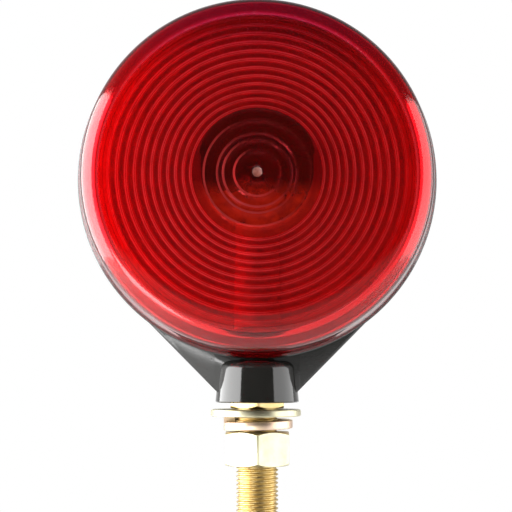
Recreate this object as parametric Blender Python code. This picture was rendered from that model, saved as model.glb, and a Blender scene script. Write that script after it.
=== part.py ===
"""Pedestal signal lamp: a round red lens on a black housing that stands on a hollow 1/2-20 stud.

The stud's axis is Z. The lens looks along -Y. The origin is where the stud's axis meets the boss's
underside. Helper functions take millimetres, and to_metres scales each finished mesh once.
"""

import math

import bmesh
import bpy
from mathutils import Matrix, Vector

MM = 0.001
GAP = 0.3  # between pieces that touch

LAMP_Z = 67.0  # height of the lens's axis
RIM_R = 54.0
RIM_FRONT = 6.5  # how far the housing's rim stands in front of the stud's axis
WALL = 2.4
BACK = 23.0
BACK_ROUND = 9.0
LEDGE_FRONT = 1.6

FACE_R = 46.4
FACE_FRONT = 25.0
SHOULDER_R = 52.0
SHOULDER_FRONT = 18.7
LENS_WALL = 2.2
SKIRT_R = 50.6
FLUTE_FIRST_R = 19.4
FLUTE_PITCH = 2.12
FLUTE_GROWTH = 0.03
FLUTES = 11
FLUTE_DEPTH = 0.7

BOSS_R = 12.6
BOSS_TOP_R = 11.7
BOSS_TOP = 12.4
BOSS_ROUND = 2.6
NECK_R = 6.0
NECK_TOP = 16.0
WEB_THICK = 8.0
WEB_FOOT_Z = 3.7

THREAD_R = 6.35
BORE_R = 3.8
STUD_END = -44.5
COLLAR_FLATS = 16.0
COLLAR_DEEP = 3.0  # how far the collar sits in the boss
COLLAR_PROUD = 1.8
STUD_TOP = 9.0
PASSAGE_R = 2.8  # the leads' way from the stud up into the housing
PASSAGE_Y = 2.6

WASHER_R = 13.6
WASHER_BORE = 7.1
WASHER_SHIFT = -0.4  # the loose washers hang a little off the stud's axis
WASHER_THICK = 2.1
LOCK_R = 10.4
LOCK_BORE = 7.0
LOCK_SHIFT = 0.3
LOCK_THICK = 2.5
LOCK_RISE = 1.5
LOCK_SPLIT = 7.0  # degrees
NUT_FLATS = 19.05
NUT_TALL = 10.2
NUT_BORE = THREAD_R + 0.35

FILAMENT_Z = LAMP_Z + 2.0
GLOBE_R = 13.2
BULB_BASE_R = 7.6
BASE_BOTTOM = 31.0
BASE_TOP = 49.0
PIN_Z = 37.5
PIN_RISE = 3.0  # the two bayonet pins sit at different heights
PIN_R = 1.0
PRESS = 2.0  # how far the bulb is pressed to free it
TURN = 25.0  # degrees that it then turns
SOCKET_R = 8.7
SOCKET_BORE = 8.0
SOCKET_BOTTOM = 22.8
SOCKET_TOP = 46.0
SHELF_Z = 33.0
STRAP_Y = 4.8
STRAP_TOP_Y = 10.6

HOLE_R = 17.5
HOLE_RISE = 2.5  # the round opening sits above the lens's axis
SLOT_W = 12.0
HOOD_R = 6.9
HOOD_WALL = 1.2
HOOD_FRONT = 10.4
HOOD_BOTTOM = 22.6
HOOD_TOP = 56.0
SCREW_R = 1.3
POST_R = 3.2
POST_X = 14.0
POST_Z = SHELF_Z + 6.0
POST_DEEP = 4.4
SHEET = 1.2  # thickness of the bracket's steel
REFLECTOR_R = 48.7
LEDGE_R = 48.2
CONTACT_X = 3.6
CAP_TOP = SOCKET_BOTTOM + 1.6
BASE_BORE = BULB_BASE_R - 1.1
STEM_TOP = 55.2

SIDES = 48


def clear_scene():
    for item in list(bpy.data.objects):
        bpy.data.objects.remove(item, do_unlink=True)


def finish(name, mesh, look, origin=(0.0, 0.0, 0.0), smooth=True):
    """Turn a millimetre bmesh into a named object whose origin is at origin."""
    bmesh.ops.remove_doubles(mesh, verts=mesh.verts, dist=1e-4)
    bmesh.ops.recalc_face_normals(mesh, faces=mesh.faces)
    bmesh.ops.translate(mesh, verts=mesh.verts, vec=-Vector(origin))
    bmesh.ops.scale(mesh, verts=mesh.verts, vec=(MM, MM, MM))
    data = bpy.data.meshes.new(name)
    mesh.to_mesh(data)
    mesh.free()
    if smooth:
        data.shade_smooth()
        data.set_sharp_from_angle(angle=math.radians(32))
    item = bpy.data.objects.new(name, data)
    item.location = Vector(origin) * MM
    bpy.context.scene.collection.objects.link(item)
    data.materials.append(look)
    return item


def paint(name, colour, roughness, metallic=0.0):
    look = bpy.data.materials.new(name)
    look.use_nodes = True
    shader = look.node_tree.nodes["Principled BSDF"]
    shader.inputs["Base Color"].default_value = (*colour, 1.0)
    shader.inputs["Roughness"].default_value = roughness
    shader.inputs["Metallic"].default_value = metallic
    return look


def turned(profile, sides=SIDES, start=0.0):
    """Close a profile of (radius, height) points round the Z axis."""
    mesh = bmesh.new()
    rings = []
    for radius, height in profile:
        if radius < 1e-6:
            rings.append([mesh.verts.new((0.0, 0.0, height))])
            continue
        ring = []
        for i in range(sides):
            angle = start + 2 * math.pi * i / sides
            ring.append(mesh.verts.new((radius * math.cos(angle), radius * math.sin(angle), height)))
        rings.append(ring)
    for low, high in zip(rings, rings[1:] + rings[:1]):
        for i in range(sides):
            j = (i + 1) % sides
            corners = [low[i % len(low)], low[j % len(low)], high[j % len(high)], high[i % len(high)]]
            corners = list(dict.fromkeys(corners))
            if len(corners) > 2:
                mesh.faces.new(corners)
    return mesh


def arc(centre, radius, first, last, steps):
    """Points on an arc of (radius, height), with angles in degrees."""
    points = []
    for i in range(steps + 1):
        angle = math.radians(first + (last - first) * i / steps)
        points.append((centre[0] + radius * math.cos(angle), centre[1] + radius * math.sin(angle)))
    return points


def prism(outline, low, high):
    """Extrude an (x, y) outline from z = low to z = high."""
    mesh = bmesh.new()
    bottom = [mesh.verts.new((x, y, low)) for x, y in outline]
    top = [mesh.verts.new((x, y, high)) for x, y in outline]
    mesh.faces.new(list(reversed(bottom)))
    mesh.faces.new(top)
    for i in range(len(outline)):
        j = (i + 1) % len(outline)
        mesh.faces.new([bottom[i], bottom[j], top[j], top[i]])
    return mesh


def block(x, y_low, y_high, z_low, z_high):
    return prism([(-x, y_low), (x, y_low), (x, y_high), (-x, y_high)], z_low, z_high)


def circle(radius, sides=SIDES, start=0.0):
    angles = [start + 2 * math.pi * i / sides for i in range(sides)]
    return [(radius * math.cos(angle), radius * math.sin(angle)) for angle in angles]


def hexagon(flats):
    """A hexagon with a corner towards -Y."""
    return circle(flats / math.sqrt(3), 6, math.radians(30))


def upright(mesh):
    """Stand a shape modelled round Z on the lens's axis: its +Z becomes -Y at the lamp's height."""
    bmesh.ops.rotate(mesh, verts=mesh.verts, matrix=Matrix.Rotation(math.radians(90), 3, "X"))
    bmesh.ops.translate(mesh, verts=mesh.verts, vec=(0.0, 0.0, LAMP_Z))
    return mesh


def moved(mesh, x=0.0, y=0.0, z=0.0):
    bmesh.ops.translate(mesh, verts=mesh.verts, vec=(x, y, z))
    return mesh


def combine(item, other, operation):
    """Apply one Boolean of other to item, then delete other."""
    step = item.modifiers.new(operation.lower(), "BOOLEAN")
    step.operation = operation
    step.solver = "EXACT"
    step.object = other
    bpy.context.view_layer.update()
    graph = bpy.context.evaluated_depsgraph_get()
    result = bpy.data.meshes.new_from_object(item.evaluated_get(graph))
    item.modifiers.remove(step)
    item.data = result
    result.shade_smooth()
    result.set_sharp_from_angle(angle=math.radians(32))
    bpy.data.objects.remove(other, do_unlink=True)


def tube(points, radius, sides=8):
    """A round wire along points, with flat ends."""
    mesh = bmesh.new()
    rings = []
    for i, point in enumerate(points):
        before = points[max(i - 1, 0)]
        after = points[min(i + 1, len(points) - 1)]
        along = (Vector(after) - Vector(before)).normalized()
        side = along.cross(Vector((0.0, 1.0, 0.0))).normalized()
        other = along.cross(side)
        ring = []
        for k in range(sides):
            angle = 2 * math.pi * k / sides
            offset = side * math.cos(angle) * radius + other * math.sin(angle) * radius
            ring.append(mesh.verts.new(Vector(point) + offset))
        rings.append(ring)
    for low, high in zip(rings, rings[1:]):
        for k in range(sides):
            j = (k + 1) % sides
            mesh.faces.new([low[k], low[j], high[j], high[k]])
    mesh.faces.new(rings[0])
    mesh.faces.new(list(reversed(rings[-1])))
    return mesh


def housing_shell(look):
    """Dish with a rim for the lens's skirt and a ledge for the reflector."""
    inner = RIM_R - WALL
    round_centre = (RIM_R - 12.0, -BACK + BACK_ROUND)
    profile = [(0.0, -BACK)]
    profile += arc(round_centre, BACK_ROUND, -90, 0, 5)
    profile += [(RIM_R - 1.6, -1.0), (RIM_R, 0.0), (RIM_R, RIM_FRONT), (inner, RIM_FRONT)]
    profile += [(inner, LEDGE_FRONT), (LEDGE_R, LEDGE_FRONT), (LEDGE_R, 0.0), (inner - 0.8, -0.8)]
    profile += arc(round_centre, BACK_ROUND - WALL, 0, -90, 5)
    profile += [(0.0, -BACK + WALL)]
    return finish("housing", upright(turned(profile)), look)


def housing_hollow(look):
    """The room inside the dish, which keeps the web out of it."""
    inner = RIM_R - WALL
    round_centre = (RIM_R - 12.0, -BACK + BACK_ROUND)
    mouth = RIM_FRONT + 9.0
    profile = [(0.0, -BACK + WALL)]
    profile += reversed(arc(round_centre, BACK_ROUND - WALL, 0, -90, 5))
    profile += [(inner - 0.8, -0.8), (inner, LEDGE_FRONT), (inner, mouth), (0.0, mouth)]
    return finish("hollow", upright(turned(profile)), look)


def web_and_boss(look):
    """Flat web that runs from the rim's tangents down to the round, slightly tapered boss."""
    side_r = RIM_R - 0.5
    drop = LAMP_Z - WEB_FOOT_Z
    touch = math.acos(side_r / math.hypot(BOSS_R, drop)) + math.atan2(BOSS_R, drop)
    touch_x = side_r * math.sin(touch)
    touch_z = LAMP_Z - side_r * math.cos(touch)
    outline = [(-BOSS_R + 1.0, WEB_FOOT_Z - 1.0), (BOSS_R - 1.0, WEB_FOOT_Z - 1.0)]
    outline += [(BOSS_R, WEB_FOOT_Z), (touch_x, touch_z), (-touch_x, touch_z), (-BOSS_R, WEB_FOOT_Z)]
    web = prism(outline, -WEB_THICK / 2, WEB_THICK / 2)
    bmesh.ops.rotate(web, verts=web.verts, matrix=Matrix.Rotation(math.radians(90), 3, "X"))
    web = finish("web", web, look)
    profile = [(0.0, 0.0), (BOSS_R, 0.0)]
    profile += arc((BOSS_TOP_R - BOSS_ROUND, BOSS_TOP - BOSS_ROUND), BOSS_ROUND, 0, 90, 4)
    profile += [(NECK_R + 1.2, BOSS_TOP), (NECK_R, BOSS_TOP + 1.2), (NECK_R, NECK_TOP), (0.0, NECK_TOP)]
    combine(web, finish("boss", turned(profile, 48), look), "UNION")
    combine(web, housing_hollow(look), "DIFFERENCE")
    return web


def housing(look):
    """Dished shell, web, boss and neck in one moulding, with two screw posts inside."""
    shell = housing_shell(look)
    combine(shell, web_and_boss(look), "UNION")
    floor = -BACK + 1.0
    top = -BACK + POST_DEEP
    for side in (-1, 1):
        post = upright(turned([(0.0, floor), (POST_R, floor), (POST_R, top), (0.0, top)], 20))
        post = moved(post, x=side * POST_X, z=POST_Z - LAMP_Z)
        combine(shell, finish("post", post, look), "UNION")
        drill = upright(prism(circle(SCREW_R + GAP, 16), -BACK + 1.6, top + 1.6))
        drill = moved(drill, x=side * POST_X, z=POST_Z - LAMP_Z)
        combine(shell, finish("drill", drill, look), "DIFFERENCE")
    hole = finish("hole", prism(circle(THREAD_R + GAP, 36), -5.0, STUD_TOP + GAP), look)
    passage = moved(prism(circle(PASSAGE_R, 24), STUD_TOP - 1.0, 20.0), y=PASSAGE_Y)
    pocket = finish("pocket", prism(hexagon(COLLAR_FLATS + 2 * GAP), -5.0, COLLAR_DEEP + GAP), look)
    combine(shell, hole, "DIFFERENCE")
    combine(shell, pocket, "DIFFERENCE")
    combine(shell, finish("passage", passage, look), "DIFFERENCE")
    return shell


def flute_radius(number):
    return FLUTE_FIRST_R + FLUTE_PITCH * number + FLUTE_GROWTH * number * number


def lens(look):
    """Red cap: a smooth face with concentric flutes on its inside, a round shoulder and a skirt."""
    skirt_in = SKIRT_R - 1.6
    back_flange = RIM_FRONT + GAP
    lip = RIM_R - 0.3
    profile = [(0.0, FACE_FRONT), (FACE_R, FACE_FRONT - 0.6)]
    profile += [(FACE_R + 2.6, FACE_FRONT - 1.6), (FACE_R + 4.6, FACE_FRONT - 3.6)]
    profile += [(SHOULDER_R, SHOULDER_FRONT)]
    profile += [(RIM_R - 1.0, back_flange + 1.8), (lip, back_flange + 1.4), (lip, back_flange)]
    profile += [(SKIRT_R, back_flange), (SKIRT_R, 2.4), (skirt_in, 2.4), (skirt_in, back_flange)]
    inner = SHOULDER_R - LENS_WALL
    floor = FACE_FRONT - LENS_WALL
    profile += [(inner, SHOULDER_FRONT - 1.0), (inner - 2.0, floor - 2.4)]
    profile += [(flute_radius(FLUTES), floor - 1.2)]
    for number in range(FLUTES - 1, -1, -1):
        profile.append((flute_radius(number) + 0.5, floor - FLUTE_DEPTH))
        profile.append((flute_radius(number), floor))
    profile += [(13.0, floor - 0.4), (0.0, floor - FLUTE_DEPTH)]
    return finish("lens", upright(turned(profile)), look)


def lens_gasket(look):
    profile = [(SKIRT_R + GAP, 2.0), (RIM_R - WALL - GAP, 2.0), (RIM_R - WALL - GAP, RIM_FRONT)]
    profile += [(SKIRT_R + GAP, RIM_FRONT)]
    return finish("lens_gasket", upright(turned(profile)), look)


def hood(look):
    """Half-round channel that bulges forward over the socket, below the round opening."""
    steps = 12
    outer = []
    inner = []
    for i in range(steps + 1):
        angle = math.pi * i / steps
        for points, radius in ((outer, HOOD_R), (inner, HOOD_R - HOOD_WALL)):
            points.append((radius * math.cos(angle), -HOOD_FRONT - radius * math.sin(angle)))
    return finish("hood", prism(outer + inner[::-1], HOOD_BOTTOM, HOOD_TOP), look)


def reflector(look):
    """Shallow white dish, open round the bulb and hooded over its socket."""
    front = [(REFLECTOR_R, 1.9), (REFLECTOR_R, 6.4), (43.0, 11.2), (30.0, 12.6), (12.0, 13.0)]
    back = [(12.0, 11.9), (30.0, 11.5), (42.6, 10.1), (REFLECTOR_R - 1.2, 5.8), (REFLECTOR_R - 1.2, 1.9)]
    dish = finish("reflector", upright(turned(front + back)), look)
    slot = finish("slot", block(SLOT_W / 2, -20.0, 0.0, HOOD_BOTTOM + 0.6, LAMP_Z), look)
    combine(dish, slot, "DIFFERENCE")
    combine(dish, hood(look), "UNION")
    hole = moved(prism(circle(HOLE_R, 60), 0.0, 20.0), y=HOLE_RISE)
    combine(dish, finish("hole", upright(hole), look), "DIFFERENCE")
    relief = prism(circle(SOCKET_R + GAP, 40), SOCKET_BOTTOM - 4.0, HOOD_BOTTOM + 1.0)
    combine(dish, finish("relief", relief, look), "DIFFERENCE")
    return dish


def sector(first, last, low, high, steps=6):
    """Block between two angles, in degrees, that reaches through the socket's wall."""
    inner = []
    outer = []
    for i in range(steps + 1):
        angle = math.radians(first + (last - first) * i / steps)
        inner.append(((SOCKET_BORE - 1.5) * math.cos(angle), (SOCKET_BORE - 1.5) * math.sin(angle)))
        outer.append(((SOCKET_R + 1.5) * math.cos(angle), (SOCKET_R + 1.5) * math.sin(angle)))
    return prism(outer[::-1] + inner, low, high)


def slot_cutters(pin_height, facing, look):
    """The way a bayonet pin takes: down from the mouth, then round to its seat."""
    low = pin_height - PRESS - PIN_R - GAP
    high = pin_height + PIN_R + GAP
    margin = math.degrees((PIN_R + GAP) / SOCKET_BORE)
    free = facing + TURN
    hook = finish("hook", sector(facing - margin, free + margin, low, high), look)
    mouth = finish("mouth", sector(free - margin, free + margin, high - 0.5, SOCKET_TOP + 3.0, 2), look)
    return hook, mouth


def socket_shell(look):
    profile = [(SOCKET_R, SOCKET_BOTTOM), (SOCKET_R, SOCKET_TOP - 0.8), (SOCKET_R + 0.6, SOCKET_TOP)]
    profile += [(SOCKET_BORE + 0.6, SOCKET_TOP), (SOCKET_BORE, SOCKET_TOP - 0.8)]
    profile += [(SOCKET_BORE, SOCKET_BOTTOM)]
    shell = finish("socket_shell", turned(profile, 40), look)
    for pin_height, facing in ((PIN_Z, 0.0), (PIN_Z + PIN_RISE, 180.0)):
        for cutter in slot_cutters(pin_height, facing, look):
            combine(shell, cutter, "DIFFERENCE")
    return shell


def socket_bracket(look):
    """Bent steel angle: a shelf round the socket and an upright leg against the housing's posts."""
    leg_back = BACK - POST_DEEP - GAP
    leg_front = leg_back - SHEET
    item = finish("socket_bracket", block(11.0, -10.3, leg_back, SHELF_Z, SHELF_Z + SHEET), look)
    leg = block(POST_X + 4.0, leg_front, leg_back, SHELF_Z + 0.2, SHELF_Z + 11.0)
    combine(item, finish("leg", leg, look), "UNION")
    hole = prism(circle(SOCKET_R + GAP, 40), SHELF_Z - 5.0, SHELF_Z + 5.0)
    combine(item, finish("hole", hole, look), "DIFFERENCE")
    for side in (-1, 1):
        drill = prism(circle(SCREW_R + GAP, 16), -30.0, -10.0)
        drill = moved(upright(drill), x=side * POST_X, z=POST_Z - LAMP_Z)
        combine(item, finish("drill", drill, look), "DIFFERENCE")
    return item


def bracket_screw(name, side, look):
    """Pan-head screw through the bracket's leg into a post."""
    seat = -BACK + POST_DEEP + GAP + SHEET + GAP
    profile = [(0.0, seat - 4.2), (SCREW_R, seat - 3.6), (SCREW_R, seat), (2.9, seat)]
    profile += [(2.7, seat + 1.1), (1.5, seat + 1.7), (0.0, seat + 1.8)]
    body = upright(turned(profile, 20))
    return finish(name, moved(body, x=side * POST_X, z=POST_Z - LAMP_Z), look)


def socket_end_cap(look):
    """Insulating plug in the socket's foot, with two holes for the bulb's leads."""
    disc = prism(circle(SOCKET_BORE - GAP, 32), SOCKET_BOTTOM + 0.2, CAP_TOP)
    cap = finish("socket_end_cap", disc, look)
    for side in (-1, 1):
        hole = moved(prism(circle(1.3, 12), SOCKET_BOTTOM - 3.0, CAP_TOP + 3.0), x=side * CONTACT_X)
        combine(cap, finish("hole", hole, look), "DIFFERENCE")
    return cap


def helix(radius, low, high, turns, wire, steps):
    points = []
    total = int(turns * steps)
    for i in range(total + 1):
        angle = 2 * math.pi * i / steps
        height = low + wire + (high - low - 2 * wire) * i / total
        points.append((radius * math.cos(angle), radius * math.sin(angle), height))
    return points


def socket_spring(look):
    low = CAP_TOP + 0.15
    high = BASE_BOTTOM - 2.0 - 0.5
    return finish("socket_spring", tube(helix(6.6, low, high, 2.5, 0.35, 14), 0.35, 6), look)


def contact_plate(look):
    top = BASE_BOTTOM - GAP - 0.8
    plate = prism(circle(SOCKET_BORE - GAP, 32), top - 1.2, top)
    return finish("contact_plate", plate, look)


def contact_pad(name, side, look):
    """Brass pad on the contact plate, under one of the bulb's contacts."""
    bottom = BASE_BOTTOM - 0.8
    pad = turned([(0.0, bottom), (2.2, bottom), (1.9, bottom + 0.7 - GAP), (0.0, bottom + 0.7 - GAP)], 16)
    return finish(name, moved(pad, x=side * CONTACT_X), look, origin=(side * CONTACT_X, 0.0, bottom))


def bulb_base(look):
    profile = [(BULB_BASE_R - 0.5, BASE_BOTTOM), (BULB_BASE_R, BASE_BOTTOM + 0.6)]
    profile += [(BULB_BASE_R, BASE_TOP - 1.2), (BULB_BASE_R - 0.5, BASE_TOP), (BASE_BORE, BASE_TOP)]
    profile += [(BASE_BORE, BASE_BOTTOM)]
    return finish("bulb_base", turned(profile, 40), look)


def bayonet_pin(name, side, height, look):
    start = BULB_BASE_R + 0.1
    profile = [(0.0, start), (PIN_R, start), (PIN_R, start + 1.0)]
    profile += [(PIN_R - 0.3, start + 1.3), (0.0, start + 1.3)]
    pin = turned(profile, 12)
    bmesh.ops.rotate(pin, verts=pin.verts, matrix=Matrix.Rotation(math.radians(90 * side), 3, "Y"))
    return finish(name, moved(pin, z=height), look, origin=(0.0, 0.0, height))


def base_insulator(look):
    top = BASE_BOTTOM + 2.4
    profile = [(0.0, BASE_BOTTOM + 0.4), (BASE_BORE - GAP, BASE_BOTTOM + 0.4)]
    profile += [(BASE_BORE - GAP, top), (0.0, top)]
    return finish("base_insulator", turned(profile, 32), look)


def base_contact(name, side, look):
    """Solder dome under the bulb's base."""
    top = BASE_BOTTOM + 0.1
    profile = [(0.0, top - 0.3), (1.2, top - 0.1), (1.7, top + 0.1), (0.0, top + 0.1)]
    dome = moved(turned(profile, 16), x=side * CONTACT_X)
    return finish(name, dome, look, origin=(side * CONTACT_X, 0.0, top))


def bulb_glass(look):
    """Thin globe, open at the neck where it is cemented into the base."""
    neck = BASE_BORE - GAP
    low = BASE_BOTTOM + 2.4 + 5.0
    meet = math.degrees(math.asin(neck / GLOBE_R))
    outer = [(neck, low)]
    outer += [(neck, BASE_TOP)]
    outer += arc((0.0, FILAMENT_Z), GLOBE_R, -90 + meet + 8, 78, 8)
    outer += [(0.0, FILAMENT_Z + GLOBE_R)]
    inner = [(0.0, FILAMENT_Z + GLOBE_R - 0.7)]
    inner += arc((0.0, FILAMENT_Z), GLOBE_R - 0.7, 78, -90 + meet + 8, 8)
    inner += [(neck - 0.7, BASE_TOP), (neck - 0.7, low)]
    return finish("bulb_glass", turned(outer + inner, 28), look)


def glass_stem(look):
    low = BASE_BOTTOM + 2.4 + GAP
    profile = [(0.0, low), (4.4, low), (3.0, low + 6.0), (2.4, STEM_TOP - 3.2)]
    profile += [(1.6, STEM_TOP - 0.2), (0.0, STEM_TOP)]
    return finish("glass_stem", turned(profile, 20), look)


def support_wire(name, x, y, top, look):
    """Nickel wire from the stem up to a filament's end."""
    points = [(0.4 * x, 0.4 * y, STEM_TOP + GAP), (x, y, STEM_TOP + 3.8), (x, y, top)]
    return finish(name, tube(points, 0.3, 6), look)


def filament(name, y, height, look):
    """Coiled tungsten between two support wires."""
    half = 2.6
    coil = 0.45
    wire = 0.14
    turns = 7
    steps = 6
    points = []
    for i in range(turns * steps + 1):
        angle = 2 * math.pi * i / steps
        x = -half + 2 * half * i / (turns * steps)
        points.append((x, y + coil * math.cos(angle), height + coil * math.sin(angle)))
    mesh = bmesh.new()
    rings = []
    for i, point in enumerate(points):
        angle = 2 * math.pi * i / steps
        outward = Vector((0.0, math.cos(angle), math.sin(angle)))
        along = Vector((1.0, 0.0, 0.0))
        ring = []
        for k in range(4):
            turn = math.pi / 2 * k
            offset = outward * math.cos(turn) + along * math.sin(turn)
            ring.append(mesh.verts.new(Vector(point) + offset * wire))
        rings.append(ring)
    for low, high in zip(rings, rings[1:]):
        for k in range(4):
            j = (k + 1) % 4
            mesh.faces.new([low[k], low[j], high[j], high[k]])
    mesh.faces.new(rings[0])
    mesh.faces.new(list(reversed(rings[-1])))
    return finish(name, mesh, look)


def stud(look):
    """Hollow 1/2-20 stud. Its hex collar sits partly in the boss, which stops it turning."""
    profile = [(BORE_R, STUD_END), (THREAD_R - 1.0, STUD_END), (THREAD_R, STUD_END + 1.2)]
    profile += [(THREAD_R, STUD_TOP - 0.5), (THREAD_R - 0.5, STUD_TOP), (BORE_R, STUD_TOP)]
    shank = finish("stud", turned(profile, 36), look)
    corner = COLLAR_FLATS / math.sqrt(3)
    flat = COLLAR_FLATS / 2
    drop = (corner - flat) * math.tan(math.radians(30))
    chamfer = [(THREAD_R - 1.0, -COLLAR_PROUD), (flat, -COLLAR_PROUD)]
    chamfer += [(corner + 1.0, -COLLAR_PROUD + drop * 2.1)]
    chamfer += [(corner + 1.0, COLLAR_DEEP), (THREAD_R - 1.0, COLLAR_DEEP)]
    collar = finish("collar", prism(hexagon(COLLAR_FLATS), -COLLAR_PROUD, COLLAR_DEEP), look)
    combine(collar, finish("chamfer", turned(chamfer, 36), look), "INTERSECT")
    combine(shank, collar, "UNION")
    return shank


def ground_strap(look):
    """Brass strip from the shelf's underside, behind the socket, down the passage to the stud's top."""
    foot = STUD_TOP + GAP
    knee = 20.5
    top = SHELF_Z - GAP
    outline = [(STRAP_Y - 1.2, foot), (STRAP_Y, foot), (STRAP_Y, knee - 0.6), (STRAP_TOP_Y, knee - 0.6)]
    outline += [(STRAP_TOP_Y, top), (STRAP_TOP_Y - 0.6, top), (STRAP_TOP_Y - 0.6, knee)]
    outline += [(STRAP_Y - 0.6, knee), (STRAP_Y - 0.6, foot + 0.6), (STRAP_Y - 1.2, foot + 0.6)]
    strip = prism(outline, -1.2, 1.2)
    turn = Matrix(((0.0, 0.0, 1.0), (1.0, 0.0, 0.0), (0.0, 1.0, 0.0)))
    bmesh.ops.rotate(strip, verts=strip.verts, matrix=turn)
    return finish("ground_strap", strip, look)


def stud_grommet(look):
    """Rubber bush that guards the leads where they leave the stud."""
    top = STUD_END + 5.0
    profile = [(2.9, STUD_END - 1.2), (4.6, STUD_END - 1.2), (4.9, STUD_END - GAP)]
    profile += [(BORE_R - GAP, STUD_END - GAP)]
    profile += [(BORE_R - GAP, top), (2.9, top)]
    return finish("stud_grommet", turned(profile, 24), look)


def flat_washer(look):
    top = -COLLAR_PROUD - GAP
    low = top - WASHER_THICK
    profile = [(WASHER_BORE, top), (WASHER_R - 0.2, top), (WASHER_R, top - 0.3), (WASHER_R, low + 0.2)]
    profile += [(WASHER_R - 0.2, low), (WASHER_BORE, low)]
    return finish("flat_washer", moved(turned(profile, 48), x=WASHER_SHIFT), look)


def lock_washer(look):
    """Split spring washer, one turn of a square helix that starts on the left."""
    top = -COLLAR_PROUD - WASHER_THICK - 2 * GAP - LOCK_RISE
    bottom = top - LOCK_THICK
    steps = 40
    split = math.radians(LOCK_SPLIT)
    mesh = bmesh.new()
    rings = []
    for i in range(steps + 1):
        angle = math.pi + split / 2 + (2 * math.pi - split) * i / steps
        lift = LOCK_RISE * i / steps
        ring = []
        for radius, height in ((LOCK_BORE, top), (LOCK_R, top), (LOCK_R, bottom), (LOCK_BORE, bottom)):
            point = (radius * math.cos(angle), radius * math.sin(angle), height + lift)
            ring.append(mesh.verts.new(point))
        rings.append(ring)
    for low, high in zip(rings, rings[1:]):
        for k in range(4):
            j = (k + 1) % 4
            mesh.faces.new([low[k], low[j], high[j], high[k]])
    mesh.faces.new(rings[0])
    mesh.faces.new(list(reversed(rings[-1])))
    return finish("lock_washer", moved(mesh, x=LOCK_SHIFT), look)


def hex_nut(look):
    """Chamfered 1/2 inch nut. Its bore clears the thread's crests."""
    top = -COLLAR_PROUD - WASHER_THICK - LOCK_THICK - LOCK_RISE - 3 * GAP
    low = top - NUT_TALL
    corner = NUT_FLATS / math.sqrt(3) + 1.0
    flat = NUT_FLATS / 2 - 0.1
    drop = (corner - flat) * math.tan(math.radians(30))
    barrel = [(0.0, top), (flat, top), (corner, top - drop)]
    barrel += [(corner, low + drop), (flat, low), (0.0, low)]
    nut = finish("hex_nut", prism(hexagon(NUT_FLATS), low, top), look)
    combine(nut, finish("barrel", turned(barrel, 48), look), "INTERSECT")
    flare = NUT_BORE + 2.25
    bore = [(0.0, top + 2.0), (flare, top + 2.0), (NUT_BORE, top - 0.5)]
    bore += [(NUT_BORE, low + 0.5), (flare, low - 2.0), (0.0, low - 2.0)]
    combine(nut, finish("bore", turned(bore, 36), look), "DIFFERENCE")
    return nut


def main():
    clear_scene()
    black = paint("black_plastic", (0.03, 0.031, 0.028), 0.35)
    red = paint("red_lens", (0.5, 0.01, 0.02), 0.08)
    foam = paint("foam", (0.06, 0.06, 0.06), 0.9)
    white = paint("white_reflector", (0.85, 0.84, 0.82), 0.35)
    steel = paint("plated_steel", (0.62, 0.62, 0.63), 0.3, 1.0)
    phenolic = paint("phenolic", (0.16, 0.07, 0.03), 0.6)
    brass = paint("brass", (0.75, 0.55, 0.22), 0.3, 1.0)
    glass = paint("clear_glass", (0.9, 0.92, 0.92), 0.02)
    solder = paint("solder", (0.55, 0.56, 0.58), 0.35, 1.0)
    vitrite = paint("vitrite", (0.02, 0.02, 0.03), 0.15)
    tungsten = paint("tungsten", (0.25, 0.25, 0.27), 0.4, 1.0)
    yellow_zinc = paint("yellow_zinc", (0.82, 0.64, 0.30), 0.28, 1.0)
    rubber = paint("rubber", (0.02, 0.02, 0.02), 0.7)
    housing(black)
    lens(red)
    lens_gasket(foam)
    reflector(white)
    socket_shell(steel)
    socket_bracket(steel)
    bracket_screw("bracket_screw_left", -1, steel)
    bracket_screw("bracket_screw_right", 1, steel)
    socket_end_cap(phenolic)
    socket_spring(steel)
    contact_plate(phenolic)
    contact_pad("contact_pad_left", -1, brass)
    contact_pad("contact_pad_right", 1, brass)
    bulb_base(brass)
    bayonet_pin("bayonet_pin_low", 1, PIN_Z, brass)
    bayonet_pin("bayonet_pin_high", -1, PIN_Z + PIN_RISE, brass)
    base_insulator(vitrite)
    base_contact("base_contact_left", -1, solder)
    base_contact("base_contact_right", 1, solder)
    bulb_glass(glass)
    glass_stem(glass)
    support_wire("wire_left", -3.2, -1.2, FILAMENT_Z - 0.9, steel)
    support_wire("wire_right", 3.2, -1.2, FILAMENT_Z - 0.9, steel)
    support_wire("wire_common", 3.2, 2.4, FILAMENT_Z - 3.4, steel)
    support_wire("wire_tail", -3.2, 2.4, FILAMENT_Z - 3.4, steel)
    filament("filament_bright", -1.2, FILAMENT_Z, tungsten)
    filament("filament_tail", 2.4, FILAMENT_Z - 2.5, tungsten)
    stud(yellow_zinc)
    ground_strap(brass)
    stud_grommet(rubber)
    flat_washer(yellow_zinc)
    lock_washer(yellow_zinc)
    hex_nut(yellow_zinc)


main()
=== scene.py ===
"""Pedestal signal lamp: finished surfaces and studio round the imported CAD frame.

The stud's axis is Z and the lens looks along -Y. Helper functions take millimetres, and
finish_mesh scales each finished mesh once.
"""

import math

import bmesh
import bpy
from mathutils import Matrix, Vector


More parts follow.
